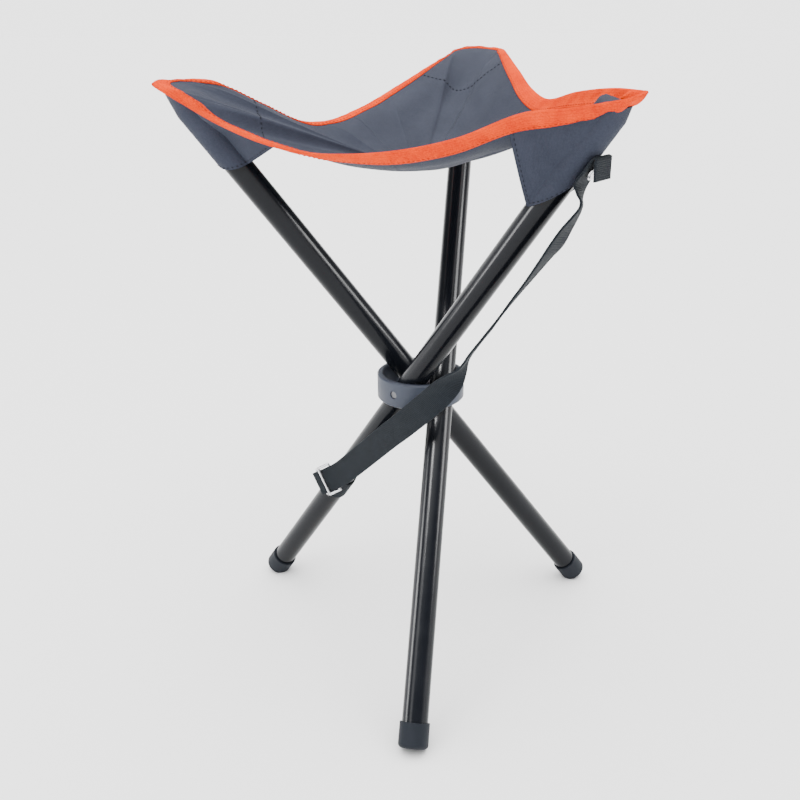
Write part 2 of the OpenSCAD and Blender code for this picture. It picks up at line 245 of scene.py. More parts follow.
# Creases that run over the cloth: from, to (about the ring's axis, in mm), height in mm, half width in mm
CREASES = (
    ((8, 158), (2, 92), 1.6, 4.5), ((2, 92), (-12, 30), 1.1, 8), ((44, 152), (14, 118), -1.5, 5),
    ((14, 118), (-10, 70), -1.1, 8), ((38, 120), (30, 60), 0.9, 8), ((-8, 126), (-40, 60), -1.0, 8),
    ((22, 104), (42, 40), -0.8, 7), ((-40, 60), (-60, 10), 0.9, 9),
    ((-138, -66), (-80, -40), 1.0, 6), ((-80, -40), (-10, -18), 0.9, 10), ((-130, -52), (-60, -12), -0.9, 7),
    ((-120, -74), (-40, -48), -0.8, 7), ((-60, -12), (10, 4), -0.7, 10),
    ((132, -92), (80, -50), 1.2, 5), ((80, -50), (24, -12), 0.8, 9), ((120, -100), (60, -62), -0.9, 6),
    ((128, -78), (74, -24), -0.9, 7), ((60, -62), (0, -52), 0.7, 9),
)
CREASE_SCALE = 1.4  # the creases stand this many times as high as they are listed


def crease_height(x, y):
    total = np.zeros_like(x)
    for (x0, y0), (x1, y1), high, wide in CREASES:
        a, d = np.array([x0, y0]) / 1000, np.array([x1 - x0, y1 - y0]) / 1000
        long = np.linalg.norm(d)
        s = np.clip(((x - a[0]) * d[0] + (y - a[1]) * d[1]) / long**2, -0.3, 1.3)
        near = np.hypot(x - a[0] - d[0] * s, y - a[1] - d[1] * s)
        fade = np.exp(-(((s - 0.5) / 0.55) ** 4))
        total += CREASE_SCALE * high / 1000 * fade * np.exp(-((near / (wide / 1000)) ** 2))
    return total


def leg_distance(k, w):
    """Distance outside leg k's upper tube and its plug, negative inside."""
    p = to_leg(k, w)
    r = np.hypot(p[..., 0], p[..., 1]) - TUBE_R
    top = p[..., 2] - PLUG_END
    outside = np.hypot(np.maximum(r, 0), np.maximum(top, 0))
    return outside + np.minimum(np.maximum(r, top), 0)


def seat_surface(k, spacing):
    """Points of corner k's third: a row for each outline point, from the edge to the middle."""
    outline, slope, place = sector_outline(k)
    centre = np.array([0, 0, DIP])
    flat = outline.copy()
    flat[:, 2] = 0
    radius = np.linalg.norm(flat, axis=1)
    inward = -flat / radius[:, None]
    angle = np.radians(slope)
    first = inward * np.cos(angle)[:, None] - UP * np.sin(angle)[:, None]
    steep = np.clip(slope / STEEP_AT, 0, 1)
    droop = np.clip(-slope / DROOP_AT, 0, 1)
    corner = np.exp(-((place / CORNER_REACH) ** 2))
    gentle = radius * 0.2 + 0.012
    short = np.maximum(steep, droop) ** 0.6
    reach1 = gentle * (1 - short) + 0.0125 * short
    reach2 = radius * (0.42 + 0.20 * steep * (1 - corner))
    p0, p1 = outline, outline + first * reach1[:, None]
    p2, p3 = centre - inward * reach2[:, None] + UP * (CORNER_LIFT[k] * corner)[:, None], centre
    q = np.asarray(spacing)[None, :, None]
    pts = ((1 - q)**3 * p0[:, None] + 3 * q * (1 - q)**2 * p1[:, None]
           + 3 * q * q * (1 - q) * p2[:, None] + q**3 * p3)
    inner = np.clip(q[..., 0] * 6, 0, 1) * np.clip((1 - q[..., 0]) * 4, 0, 1)
    pts[..., 2] += crease_height(pts[..., 0], pts[..., 1]) * inner
    pts = pts + np.array([HUB[0], HUB[1], 0])
    # Where the cloth meets a leg it is lifted off it and its neighbours are drawn level, step by step
    band = np.clip((q[..., 0] * radius[:, None] - 0.010) / 0.012, 0, 1)
    for _ in range(60):
        deep = np.maximum(LEG_CLEAR - leg_distance(k, pts), 0)
        pts[..., 2] += deep * 0.6
        mid = pts[..., 2].copy()
        mid[1:-1, 1:-1] = (pts[:-2, 1:-1, 2] + pts[2:, 1:-1, 2] + pts[1:-1, :-2, 2] + pts[1:-1, 2:, 2]) / 4
        near = np.clip(1 - (leg_distance(k, pts) - 0.002) / 0.022, 0, 1) * band
        pts[..., 2] += (mid - pts[..., 2]) * near * 0.6
    for _ in range(25):
        pts[..., 2] += np.maximum(LEG_CLEAR_LAST - leg_distance(k, pts), 0) * 0.7
    return pts, place


def normals_of(pts):
    """Upward normals of a grid of points, rows along the outline and columns inwards."""
    du = np.gradient(pts, axis=0)
    dv = np.gradient(pts, axis=1)
    n = unit(np.cross(dv, du))
    return n if n[..., 2].mean() > 0 else -n


CLOTH = 0.0011  # thickness of the fabric
HIDDEN_EDGE = 0.0068  # the fabric's own edge lies this far inside the folded tape
SPACING = np.concatenate([np.linspace(0, 0.12, 13)[:-1], np.linspace(0.12, 1, 50)])

SECTOR = {}
for k in range(3):
    pts, place = seat_surface(k, SPACING)
    SECTOR[k] = (pts, normals_of(pts), place)


def row_depths(pts):
    """Distance run along each row of points, from its first."""
    steps = np.linalg.norm(np.diff(pts, axis=1), axis=2)
    return np.concatenate([np.zeros((len(pts), 1)), np.cumsum(steps, axis=1)], axis=1)


def build_seat(k):
    pts, n, place = SECTOR[k]
    gone = row_depths(pts)
    share = np.concatenate([np.linspace(0, 0.10, 13)[:-1], np.linspace(0.10, 1, 48)])
    rows, cols = len(pts), len(share)
    factor = tape_width(k, place)
    mid, up = np.zeros((rows, cols, 3)), np.zeros((rows, cols, 3))
    for i in range(rows):
        edge = HIDDEN_EDGE * factor[i]
        at = edge + (gone[i, -1] - edge) * share
        for c in range(3):
            mid[i, :, c] = np.interp(at, gone[i], pts[i, :, c])
            up[i, :, c] = np.interp(at, gone[i], n[i, :, c])
    up = unit(up)
    verts = np.vstack([(mid + up * CLOTH / 2).reshape(-1, 3), (mid - up * CLOTH / 2).reshape(-1, 3)])
    faces = closed_sheet_faces(rows, cols)
    # All the rows end at one point on the ring's axis
    half = rows * cols
    one = {i * cols + cols - 1 + side: cols - 1 + side for side in (0, half) for i in range(rows)}
    faces = [tuple(dict.fromkeys(one.get(v, v) for v in f)) for f in faces]
    faces = [f for f in faces if len(f) > 2]
    uv = np.vstack([mid[..., :2].reshape(-1, 2)] * 2)
    return mesh_object(f"seat_cloth_{CORNERS[k]}", verts, faces, uv)


# ---------------------------------------------------------------- edging tape

TAPE = 0.0105  # width that shows on each side
TAPE_THICK = 0.0007
TAPE_CLEAR = CLOTH / 2 + 0.0004  # least distance of the tape from the middle of the fabric
TAPE_SPREAD = 0.38  # share by which the tape is wider round the right corner
STITCH_ROW = 7  # the sample of the tape's depth on which its stitches lie


def tape_width(k, place):
    """Width factor of the tape along an outline: it spreads round the gathered right corner."""
    return 1 + (TAPE_SPREAD if k == 1 else 0.0) * np.exp(-((place / 0.62) ** 4))


def surface_at(k, depths):
    """Surface points and normals at given distances in from the edge, along each outline row.

    The depths are those of the narrow tape, and grow with its width factor."""
    pts, n, place = SECTOR[k]
    gone = row_depths(pts)
    out_p, out_n = np.zeros((len(pts), len(depths), 3)), np.zeros((len(pts), len(depths), 3))
    factor = tape_width(k, place)
    for i in range(len(pts)):
        at = depths * factor[i]
        for c in range(3):
            out_p[i, :, c] = np.interp(at, gone[i], pts[i, :, c])
            out_n[i, :, c] = np.interp(at, gone[i], n[i, :, c])
    return out_p, unit(out_n)


def along_outline(p):
    return np.concatenate([[0], np.cumsum(np.linalg.norm(np.diff(p, axis=0), axis=1))])


def gather(k, place, run):
    """Small puckers of the tape, strongest round the tips and above all round the gathered right one."""
    near_tip = np.exp(-((place / 0.22) ** 2))
    strength = 0.00012 + (0.00055 if k == 1 else 0.00018) * near_tip
    ripple = np.sin(run / 0.0021 + k) + 0.7 * np.sin(run / 0.0037 + 2 * k) + 0.6 * np.sin(run / 0.0089)
    return strength * ripple


def build_tape(k):
    depths = np.array([0.0, 0.0008, 0.0025, 0.0045, 0.0055, 0.0065, 0.0075, 0.0085, 0.0093, 0.0099, TAPE])
    p, n = surface_at(k, depths)
    place = SECTOR[k][2]
    run = along_outline(p[:, 0])
    inward = unit(p[:, 2] - p[:, 0])
    lift = CLOTH / 2 + TAPE_THICK
    wave = gather(k, place, run)
    puff = np.array([0.35, 0.8, 1, 1, 1, 1, 1, 1, 1, 1, 0.75])
    loose = np.array([0.2, 0.5, 1, 1.2, 1.1, 1, 0.75, 0.5, 0.3, 0.15, 0.0])
    over, under = [], []
    for j in range(len(depths)):
        stand = lift * (0.55 + 0.45 * puff[j])
        bump = wave * loose[j]
        # Over the fabric's own edge the puckers stay clear of it
        least = TAPE_CLEAR if depths[j] > HIDDEN_EDGE - 0.001 else -1.0
        over.append(p[:, j] + n[:, j] * np.maximum(stand + bump, least)[:, None])
        under.append(p[:, j] - n[:, j] * np.maximum(stand - bump, least)[:, None])
    fold = [p[:, 0] - inward * 0.0012 + n[:, 0] * lift * 0.5, p[:, 0] - inward * 0.0016,
            p[:, 0] - inward * 0.0012 - n[:, 0] * lift * 0.5]
    inner_top = p[:, -1] + n[:, -1] * CLOTH * 0.45
    inner_low = p[:, -1] - n[:, -1] * CLOTH * 0.45
    section = [inner_top] + over[::-1] + fold + under + [inner_low]
    # The same places laid flat, for the weave: the upper side, the fold and the lower side
    across = [TAPE] + list(depths[::-1]) + [-0.0008, -0.0016, -0.0024]
    across += list(-0.003 - depths) + [-0.003 - TAPE]
    grid = np.stack(section, axis=1)
    rows, cols = grid.shape[:2]
    uv = np.stack(np.meshgrid(run, across, indexing="ij"), axis=-1).reshape(-1, 2)
    o = mesh_object(f"edge_tape_{CORNERS[k]}", grid.reshape(-1, 3), grid_faces(rows, cols, flip=True), uv)
    return o, over[STITCH_ROW], under[STITCH_ROW], n[:, STITCH_ROW], run


STITCH_START = 0.0003  # a stitch starts this far into its share of the row
STITCH_SIDES = 6
STITCH_ARCH = np.array([-0.9, 0.35, 0.8, 0.35, -0.9])  # height of the thread along a stitch, in its radii


def stitch_line(name, p, n, run, pitch=0.0034, long=0.0022, radius=0.00028):
    """A row of thread stitches that lie on the points p, with normals n."""
    verts, faces = [], []
    rings, sides = len(STITCH_ARCH), STITCH_SIDES
    for c in range(int(run[-1] / pitch)):
        start = c * pitch + STITCH_START
        stations = np.linspace(start, start + long, rings)
        q = np.stack([np.interp(stations, run, p[:, i]) for i in range(3)], axis=1)
        m = unit(np.stack([np.interp(stations, run, n[:, i]) for i in range(3)], axis=1))
        d = unit(q[-1] - q[0])
        side = unit(np.cross(m, d))
        base = len(verts)
        rise = STITCH_ARCH * radius
        for i in range(rings):
            fat = radius * (0.75 if i in (0, rings - 1) else 1.0)
            for a in range(sides):
                w = 2 * math.pi * a / sides
                verts.append(q[i] + m[i] * (rise[i] + fat * math.sin(w)) + side[i] * fat * math.cos(w))
        faces += grid_faces(rings, sides, base, close_cols=True)
        faces.append(tuple(base + a for a in range(sides))[::-1])
        faces.append(tuple(base + (rings - 1) * sides + a for a in range(sides)))
    return mesh_object(name, verts, faces)


def on_surface(k, xy):
    """Point and normal of corner k's cloth above each xy. Its rows run straight to the ring's axis."""
    pts, n, _ = SECTOR[k]
    flat = pts[..., :2] - HUB[:2]
    middle = math.radians(CORNER_AZ[k])
    turn = (np.arctan2(flat[:, 0, 1], flat[:, 0, 0]) - middle + math.pi) % (2 * math.pi) - math.pi
    radius = np.hypot(flat[..., 0], flat[..., 1])
    out_p, out_n = [], []
    for q in np.asarray(xy) - HUB[:2]:
        a = (math.atan2(q[1], q[0]) - middle + math.pi) % (2 * math.pi) - math.pi
        r = math.hypot(*q)
        i = int(np.clip(np.searchsorted(turn, a) - 1, 0, len(turn) - 2))
        w = float(np.clip((a - turn[i]) / (turn[i + 1] - turn[i]), 0, 1))
        both = []
        for row in (i, i + 1):
            z = np.interp(-r, -radius[row], pts[row, :, 2])
            both.append((z, np.array([np.interp(-r, -radius[row], n[row, :, c]) for c in range(3)])))
        out_p.append((q[0] + HUB[0], q[1] + HUB[1], both[0][0] * (1 - w) + both[1][0] * w))
        out_n.append(both[0][1] * (1 - w) + both[1][1] * w)
    return np.array(out_p), unit(np.array(out_n))


POCKET_EDGE = 0.43  # share of half an edge that a pocket takes up


def pocket_ends(place):
    """The outline points at which a pocket starts and ends."""
    first = int(np.argmin(np.abs(place + POCKET_EDGE)))
    last = len(place) - 1 - int(np.argmin(np.abs(place[::-1] - POCKET_EDGE)))
    return first, last


def seam_row(k):
    """The line across corner k's cloth where its pocket is sewn on beneath."""
    pts, _, place = SECTOR[k]
    first, last = pocket_ends(place)
    w = np.linspace(0.06, 0.94, 160)[:, None]
    return on_surface(k, pts[first, 0, :2] * (1 - w) + pts[last, 0, :2] * w)


# ---------------------------------------------------------------- pockets

# Hem on each pocket as distances up the leg: at the lower side and at the upper side of the tube
HEM = ((0.224, 0.215), (0.228, 0.188), (0.222, 0.210))
POCKET_GAP = 0.0010  # between the tube and the middle of the pocket's cloth
POCKET_CLOTH = 0.0010  # thickness of that cloth
PAST_PLUG = 0.78  # share of the way up a pocket at which it leaves the tube for the corner's tip
POCKET_WRAP = 28  # near its hem a pocket reaches round the tube's upper side by this many degrees
HEM_ROW = 2  # the row of the pocket's cloth on which its stitches lie


def pocket_grid(k, rows=70, half_cols=40):
    place = SECTOR[k][2]
    rim_p, rim_n = surface_at(k, np.array([0.002, 0.0045, 0.0101]))
    v = np.linspace(0, 1, rows)
    tip_before = int(np.where(place < 0)[0][-1])
    tip_after = int(np.where(place > 0)[0][0])
    start_before, start_after = pocket_ends(place)
    steep = np.clip(-(rim_p[:, 2, 2] - rim_p[:, 0, 2]) / 0.007, 0, 1)[:, None]
    under = (CLOTH / 2 + POCKET_CLOTH) * (1 - steep) + 0.0002 * steep
    rim = rim_p[:, 1] * (1 - steep) + rim_p[:, 2] * steep - rim_n[:, 1] * under
    mid_tip = (tip_before + tip_after) // 2
    index_a = start_before + (tip_before + 2 - start_before) * v**0.9
    index_b = start_after + (tip_after - 2 - start_after) * v**0.9
    at = np.arange(len(place))
    rim_a = np.stack([np.interp(index_a, at, rim[:, c]) for c in range(3)], axis=1)
    rim_b = np.stack([np.interp(index_b, at, rim[:, c]) for c in range(3)], axis=1)
    tip_mid = to_leg(k, rim[mid_tip])
    a, b = to_leg(k, rim_a), to_leg(k, rim_b)
    low, high = HEM[k]
    r = TUBE_R + POCKET_GAP
    end = PLUG_END - 0.004
    grid = []
    for i, w in enumerate(v):
        row = []
        past = np.clip((w - PAST_PLUG) / (1 - PAST_PLUG), 0, 1)
        past = past * past * (3 - 2 * past)
        climb = min(w / PAST_PLUG, 1)
        rise = np.clip((w - 0.35) / 0.3, 0, 1)
        turn = math.radians(-POCKET_WRAP) * (1 - rise)
        arc = np.linspace(turn, math.pi / 2, half_cols // 2)
        down = (arc - turn) / (math.pi / 2 - turn)
        z_low = low + (end - low) * climb + (tip_mid[2] - end) * past
        # half section: the rim, straight down to the side of the tube, then round beneath it
        for side, rim_pt, tip_side in ((-1, a[i], a[-1]), (1, b[i], b[-1])):
            z_side = high + (end - high) * climb + (tip_side[2] - end) * past
            half_wide = r * (1 - past) + abs(tip_side[1] - tip_mid[1]) * past
            deep = r * (1 - past) + 0.0012 * past
            centre_x = (tip_side[0] * (1 - down) + tip_mid[0] * down) * past
            arc_y = tip_mid[1] * past + side * half_wide * np.cos(arc)
            arc_z = z_side + (z_low - z_side) * down**1.3
            arc_pts = np.stack([centre_x + deep * np.sin(arc), arc_y, arc_z], axis=1)
            fall = np.linspace(0, 1, half_cols // 2 + 1)[:-1]
            line = rim_pt + (arc_pts[0] - rim_pt) * fall[:, None]
            line[:, 1] += side * 0.0016 * np.sin(math.pi * fall) * (1 - past) * math.sin(3.0 * w + k)
            line[:, 0] += 0.0012 * np.sin(math.pi * fall) * math.sin(9 * w + 2 * k + side) * (1 - past)
            part = np.vstack([line, arc_pts])
            row.append(part if side < 0 else part[::-1][1:])
        grid.append(np.vstack(row))
    g = np.array(grid)
    return leg_point(k, g), g


def build_pocket(k):
    world, local = pocket_grid(k)
    rows, cols = world.shape[:2]
    du, dv = np.gradient(world, axis=0), np.gradient(world, axis=1)
    n = unit(np.cross(du, dv))
    on_axis = leg_point(k, local * np.array([0.0, 0.0, 1.0]))
    if ((world - on_axis) * n).sum(-1).mean() < 0:
        n = -n
    outer, inner = world + n * POCKET_CLOTH / 2, world - n * POCKET_CLOTH / 2
    verts = np.vstack([outer.reshape(-1, 3), inner.reshape(-1, 3)])
    faces = closed_sheet_faces(rows, cols)
    uv = np.stack([row_depths(world), local[..., 2]], axis=-1).reshape(-1, 2)
    o = mesh_object(f"pocket_cloth_{CORNERS[k]}", verts, faces, np.vstack([uv, uv]))
    return o, outer[HEM_ROW], n[HEM_ROW]


# ---------------------------------------------------------------- strap

STRAP_WIDTH = 0.0205
STRAP_THICK = 0.0016
TAB_FROM = 0.236  # above this the webbing is folded over itself and faces its own fold
# Route in the right leg's frame in mm: outwards, sideways, along the leg, turn of the face in degrees
STRAP_ROUTE = (
    (21.6, 0, 232.0, 0), (17.9, 0, 237.0, 0), (14.6, 0, 241.6, 0), (14.1, 0, 242.6, 0), (13.4, 0, 243.1, 0),
    (12.6, 0, 242.9, 0), (12.1, 0, 242.1, 0), (12.0, 0, 240.8, 0), (12.0, 0, 232, 0), (12.4, 0, 221, -2),
    (16, -0.3, 216, -12), (20.8, -0.6, 211.5, -19),
    (22.6, -1.6, 205.5, -12), (24.3, -4.5, 194, -2), (26.2, -7, 183, 2), (26.8, -9, 172, -4),
    (27.5, -11, 155, -10), (27.8, -13, 137, -14), (28.4, -15, 120, -17), (29.4, -18, 104, -15),
    (29.8, -20, 88, -15), (30.9, -21.8, 74, -12),
    (31.6, -22.8, 64, 14), (32, -23.5, 54, 42), (31, -24, 40, 66), (28.5, -24, 24, 80), (25.5, -23.5, 8, 86),
    (22, -22.5, -10, 89), (18, -21, -28, 90), (14, -19, -48, 90), (10, -17, -68, 90), (6, -15.8, -88, 90),
    (2, -15, -106, 90), (-8.6, -15, -135, 90),
)


def dense(route, step=0.0015):
    """The route as a smooth curve, with a point every step metres."""
    route = np.array(route, float)
    chord = np.concatenate([[0], np.cumsum(np.linalg.norm(np.diff(route[:, :3], axis=0), axis=1))])
    s = np.linspace(0, chord[-1], int(chord[-1] / 1000 / step) + 1)
    cols = [smooth_curve(chord, route[:, c], s) for c in range(route.shape[1])]
    return np.stack(cols, axis=1)


def ribbon(name, pts, face, width, thick, rounded=6):
    """Flat webbing along pts: face is its outward normal at each point."""
    d = unit(np.gradient(pts, axis=0))
    face = unit(face - (face * d).sum(1, keepdims=True) * d)
    side = np.cross(d, face)
    half, t = width / 2, thick / 2
    flat = np.linspace(-1, 1, 9) * (half - t)

    def edge(start, centre, at):
        turns = [math.radians(a) for a in np.linspace(start, start - 180, rounded + 1)[1:-1]]
        return [(centre + t * math.cos(a), t * math.sin(a), at) for a in turns]

    # Section of the band as across, out, and its place across the weave
    section = ([(x, t, x) for x in flat] + edge(90, half - t, half)
               + [(x, -t, width + x) for x in flat[::-1]] + edge(-90, -half + t, -half))
    ring, across = [p[:2] for p in section], [p[2] for p in section]
    run = along_outline(pts)
    verts = np.concatenate([[pts[i] + side[i] * x + face[i] * y for x, y in ring] for i in range(len(pts))])
    cols = len(ring)
    faces = grid_faces(len(pts), cols, close_cols=True)
    faces.append(tuple(range(cols))[::-1])
    faces.append(tuple((len(pts) - 1) * cols + j for j in range(cols)))
    uv = np.array([(run[i], across[j]) for i in range(len(pts)) for j in range(cols)])
    return mesh_object(name, verts, faces, uv), run


def build_strap():
    """The strap's webbing. Its free end hangs outside; from there the band turns over a fold and runs down."""
    rows = dense(STRAP_ROUTE)
    local = rows[:, :3] / 1000
    turn = np.radians(rows[:, 3])
    face = np.stack([np.cos(turn), -np.sin(turn), np.zeros_like(turn)], axis=1)
    d = np.gradient(local, axis=0)
    tab = (local[:, 2] > TAB_FROM) | (np.arange(len(local)) < np.argmax(local[:, 2]))
    face[tab] = np.stack([-d[tab, 2], 0 * d[tab, 2], d[tab, 0]], axis=1)
    _, x, y, z = leg_axes(1)
    world = leg_point(1, local)
    wface = face[:, :1] * x + face[:, 1:2] * y + face[:, 2:] * z
    return ribbon("strap_webbing", world, wface, STRAP_WIDTH, STRAP_THICK)


# The loop round the leg, which the slider joins to the strap, laps over itself on the side away from it
LOOP_AT = -0.128  # place of its middle along the leg, from the pivot
LOOP_WIDTH = 0.020
LOOP_THICK = 0.0012
LOOP_GAP = 0.0002  # between the tube and the band
LOOP_R = TUBE_R + LOOP_GAP + LOOP_THICK / 2
LAP_FROM, LAP = 68.0, 44.0  # start and length of the lap, in degrees round the leg
CLIMB_FROM = 318  # the band climbs onto itself from here to its full turn
LAP_INSET = 8  # the rows of stitches lie this far inside the lap, in degrees
LAP_GAP = 0.0001
LAP_STITCHES = 0.0085  # half the length of a row of stitches across the lap


def round_leg(angle, radius, z):
    """Points round the right leg and their outward normals, from angles in degrees."""
    a = np.radians(np.asarray(angle, float))
    out = np.stack([np.cos(a), np.sin(a)], axis=1)
    _, x, y, _ = leg_axes(1)
    local = np.column_stack([out * np.asarray(radius)[..., None], np.broadcast_to(z, a.shape)])
    return leg_point(1, local), out[:, :1] * x + out[:, 1:] * y


def build_loop():
    angle = np.linspace(LAP_FROM, LAP_FROM + 360 + LAP, 130)
    climb = np.clip((angle - LAP_FROM - CLIMB_FROM) / (360 - CLIMB_FROM), 0, 1)
    radius = LOOP_R + (LOOP_THICK + LAP_GAP) * climb * climb * (3 - 2 * climb)
    pts, face = round_leg(angle, radius, LOOP_AT)
    return ribbon("loop_webbing", pts, face, LOOP_WIDTH, LOOP_THICK)


def build_loop_stitches():
    """Two rows of stitches across the lap."""
    rows = []
    for i, angle in enumerate((LAP_FROM + LAP_INSET, LAP_FROM + LAP - LAP_INSET)):
        z = np.linspace(LOOP_AT - LAP_STITCHES, LOOP_AT + LAP_STITCHES, 30)
        radius = np.full(len(z), LOOP_R + LOOP_THICK * 1.5 + LAP_GAP)
        p, n = round_leg(np.full(len(z), angle), radius, z)
        rows.append(stitch_line(f"loop_stitches_{i + 1}", p, n, along_outline(p)))
    return rows


# ---------------------------------------------------------------- materials

def new_material(name):
    m = bpy.data.materials.new(name)
    m.use_nodes = True
    nt = m.node_tree
    bsdf = nt.nodes["Principled BSDF"]
    return m, nt, bsdf


def node(nt, kind, **props):
    n = nt.nodes.new(kind)
    for key, value in props.items():
        if hasattr(n, key):
            setattr(n, key, value)
        else:
            n.inputs[key].default_value = value
    return n


def mix_color(nt, fac, a, b):
    n = nt.nodes.new("ShaderNodeMix")
    n.data_type = "RGBA"
    for sock, v in ((6, a), (7, b)):
        if isinstance(v, tuple):
            n.inputs[sock].default_value = v
        else:
            nt.links.new(v, n.inputs[sock])
    nt.links.new(fac, n.inputs[0])
    return n.outputs[2]


def ramp(nt, fac, stops):
    n = nt.nodes.new("ShaderNodeValToRGB")
    el = n.color_ramp.elements
    while len(el) < len(stops):
        el.new(0.5)
    for e, (pos, v) in zip(el, stops):
        e.position = pos
        e.color = v if isinstance(v, tuple) else (v, v, v, 1)
    nt.links.new(fac, n.inputs[0])
    return n.outputs[0]


def multiply_color(nt, share, color, shade):
    n = nt.nodes.new("ShaderNodeMix")
    n.data_type = "RGBA"
    n.blend_type = "MULTIPLY"
    n.inputs[0].default_value = share
    nt.links.new(color, n.inputs[6])
    nt.links.new(shade, n.inputs[7])
    return n.outputs[2]


def math_node(nt, op, a, b=None, c=None):
    n = nt.nodes.new("ShaderNodeMath")
    n.operation = op
    for i, v in enumerate((a, b, c)):
        if v is None:
            continue
        if isinstance(v, (int, float)):
            n.inputs[i].default_value = v
        else:
            nt.links.new(v, n.inputs[i])
    return n.outputs[0]


def weave(nt, pitch_u, pitch_v):
    """Plain weave height from the UV in metres, as threads that pass over each other, and the UV's parts."""
    sep = nt.nodes.new("ShaderNodeSeparateXYZ")
    nt.links.new(node(nt, "ShaderNodeUVMap").outputs[0], sep.inputs[0])
    u = math_node(nt, "MULTIPLY", sep.outputs[0], math.pi / pitch_u)
    v = math_node(nt, "MULTIPLY", sep.outputs[1], math.pi / pitch_v)
    su, sv = math_node(nt, "SINE", u), math_node(nt, "SINE", v)
    au, av = math_node(nt, "ABSOLUTE", su), math_node(nt, "ABSOLUTE", sv)
    check = math_node(nt, "MULTIPLY", math_node(nt, "SIGN", su), math_node(nt, "SIGN", sv))
    pick = math_node(nt, "MULTIPLY_ADD", check, 0.5, 0.5)
    warp = math_node(nt, "MULTIPLY", au, pick)
    weft = math_node(nt, "MULTIPLY", av, math_node(nt, "SUBTRACT", 1.0, pick))
    return math_node(nt, "ADD", warp, weft), sep


def bump(nt, height, strength, distance, normal=None):
    n = node(nt, "ShaderNodeBump", Strength=strength, Distance=distance)
    nt.links.new(height, n.inputs["Height"])
    if normal is not None:
        nt.links.new(normal, n.inputs["Normal"])
    return n.outputs[0]


def noise(nt, vec, scale, detail=4, rough=0.6):
    n = node(nt, "ShaderNodeTexNoise", Scale=scale, Detail=detail, Roughness=rough)
    nt.links.new(vec, n.inputs["Vector"])
    return n.outputs["Fac"]


def object_coords(nt):
    return node(nt, "ShaderNodeTexCoord").outputs["Object"]


def fabric_material(name, dark, light, pitch=0.0007, sheen=0.04, rough=0.72, bump_strength=0.35, wide=None,
                    shine=0.12, blotch=26):
    m, nt, b = new_material(name)
    h, _ = weave(nt, pitch, wide or pitch)
    obj = object_coords(nt)
    broad = noise(nt, obj, blotch, 5, 0.6)
    fine = noise(nt, obj, 900, 2, 0.5)
    tone = math_node(nt, "ADD", math_node(nt, "MULTIPLY", broad, 0.6), math_node(nt, "MULTIPLY", fine, 0.4))
    col = mix_color(nt, ramp(nt, tone, [(0.3, 0.0), (0.7, 1.0)]), dark, light)
    shade = ramp(nt, h, [(0.0, 0.55), (0.6, 1.0)])
    nt.links.new(multiply_color(nt, 0.55, col, shade), b.inputs["Base Color"])
    b.inputs["Roughness"].default_value = rough
    b.inputs["Sheen Weight"].default_value = sheen
    b.inputs["Sheen Roughness"].default_value = 0.4
    b.inputs["Specular IOR Level"].default_value = shine
    n1 = bump(nt, noise(nt, obj, 60, 4, 0.55), 0.25, 0.0012)
    n2 = bump(nt, h, bump_strength, 0.00025, n1)
    nt.links.new(n2, b.inputs["Normal"])
    return m


def enamel_material():
    m, nt, b = new_material("black_enamel")
    obj = object_coords(nt)
    wear = noise(nt, obj, 38, 6, 0.65)
    coat = mix_color(nt, wear, (0.0016, 0.0020, 0.0030, 1), (0.0040, 0.0046, 0.0062, 1))
    nt.links.new(coat, b.inputs["Base Color"])
    nt.links.new(ramp(nt, wear, [(0.3, 0.16), (0.75, 0.27)]), b.inputs["Roughness"])
    b.inputs["Specular IOR Level"].default_value = 0.15
    nt.links.new(bump(nt, noise(nt, obj, 420, 3, 0.5), 0.05, 0.0004), b.inputs["Normal"])
    return m


def plastic_material(name, color, rough, grain=0.12, scale=900, shine=0.35):
    m, nt, b = new_material(name)
    obj = object_coords(nt)
    broad = noise(nt, obj, 60, 5, 0.6)
    c2 = tuple(v * 1.3 for v in color[:3]) + (1,)
    b.inputs["Specular IOR Level"].default_value = shine
    nt.links.new(mix_color(nt, broad, color, c2), b.inputs["Base Color"])
    nt.links.new(ramp(nt, broad, [(0.3, rough - 0.06), (0.7, rough + 0.08)]), b.inputs["Roughness"])
    nt.links.new(bump(nt, noise(nt, obj, scale, 2, 0.5), grain, 0.0003), b.inputs["Normal"])
    return m


def metal_material(name, color, rough):
    m, nt, b = new_material(name)
    obj = object_coords(nt)
    wear = noise(nt, obj, 240, 5, 0.6)
    c2 = tuple(v * 0.72 for v in color[:3]) + (1,)
    nt.links.new(mix_color(nt, wear, c2, color), b.inputs["Base Color"])
    nt.links.new(ramp(nt, wear, [(0.3, rough), (0.8, rough + 0.18)]), b.inputs["Roughness"])
    b.inputs["Metallic"].default_value = 1.0
    nt.links.new(bump(nt, wear, 0.08, 0.0002), b.inputs["Normal"])
    return m


def webbing_material(name, dark, light, rib=0.0013, strength=0.7):
    """Narrow woven webbing: ribs across the band over a plain weave."""
    m, nt, b = new_material(name)
    h, sep = weave(nt, rib, rib * 0.8)
    along = math_node(nt, "MULTIPLY", sep.outputs[0], math.pi / rib)
    ribs = math_node(nt, "ABSOLUTE", math_node(nt, "SINE", along))
    obj = object_coords(nt)
    tone = noise(nt, obj, 140, 4, 0.6)
    col = mix_color(nt, tone, dark, light)
    shade = ramp(nt, math_node(nt, "MULTIPLY_ADD", h, 0.6), [(0.0, 0.5), (0.75, 1.0)])
    nt.links.new(multiply_color(nt, 0.6, col, shade), b.inputs["Base Color"])
    b.inputs["Roughness"].default_value = 0.7
    b.inputs["Sheen Weight"].default_value = 0.02
    b.inputs["Specular IOR Level"].default_value = 0.10
    n1 = bump(nt, ribs, strength, 0.00035)
    n2 = bump(nt, h, strength * 0.6, 0.0002, n1)
    nt.links.new(n2, b.inputs["Normal"])
    return m


